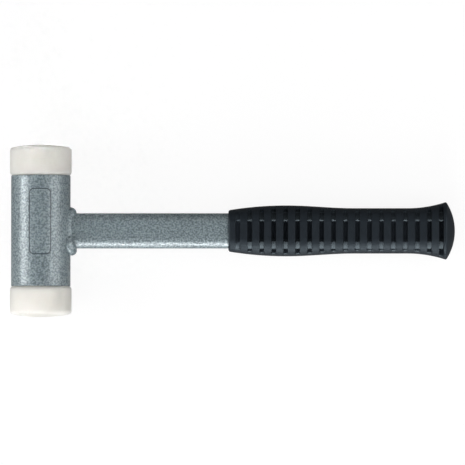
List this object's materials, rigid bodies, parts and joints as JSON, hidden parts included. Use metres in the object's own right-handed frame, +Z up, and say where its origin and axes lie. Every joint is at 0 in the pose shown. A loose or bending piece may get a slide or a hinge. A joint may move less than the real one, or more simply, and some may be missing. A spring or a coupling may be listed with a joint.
{
  "type": "dead blow hammer",
  "caption": "Dead blow hammer: steel tube head holding loose steel shot, a nylon striking face at each end, a welded flat-oval steel handle and a pocketed black rubber grip.",
  "frame": {"origin": "on the surface that the hammer lies on, under the middle of its bounding box", "axes": "+X along the handle from the head to the grip's end, +Y along the head to the upper face, +Z up"},
  "size_m": [0.2894, 0.112, 0.04],
  "materials": {
    "hammertone_paint": "blue-grey hammertone paint",
    "nylon": "satin natural nylon",
    "rubber": "black moulded rubber",
    "bare_steel": "bare bright steel"
  },
  "bodies": {
    "hammer": {"head_tube": "hammertone_paint", "upper_face": "nylon", "lower_face": "nylon", "upper_chamber_plug": "bare_steel", "lower_chamber_plug": "bare_steel", "handle_tube": "hammertone_paint", "weld_bead": "hammertone_paint", "grip": "rubber"},
    "shot": {"shot_01": "bare_steel", "shot_02": "bare_steel", "shot_03": "bare_steel", "shot_04": "bare_steel", "shot_05": "bare_steel", "shot_06": "bare_steel", "shot_07": "bare_steel", "shot_08": "bare_steel", "shot_09": "bare_steel", "shot_10": "bare_steel", "shot_11": "bare_steel", "shot_12": "bare_steel", "shot_13": "bare_steel", "shot_14": "bare_steel", "shot_15": "bare_steel", "shot_16": "bare_steel", "shot_17": "bare_steel", "shot_18": "bare_steel", "shot_19": "bare_steel", "shot_20": "bare_steel", "shot_21": "bare_steel", "shot_22": "bare_steel", "shot_23": "bare_steel", "shot_24": "bare_steel", "shot_25": "bare_steel", "shot_26": "bare_steel", "shot_27": "bare_steel", "shot_28": "bare_steel", "shot_29": "bare_steel", "shot_30": "bare_steel", "shot_31": "bare_steel", "shot_32": "bare_steel", "shot_33": "bare_steel", "shot_34": "bare_steel", "shot_35": "bare_steel"}
  },
  "joints": [
    {"name": "shot_travel", "type": "slide", "parent": "hammer", "child": "shot", "axis": [0, 1, 0], "range_m": [-0.005, 0.005]}
  ]
}
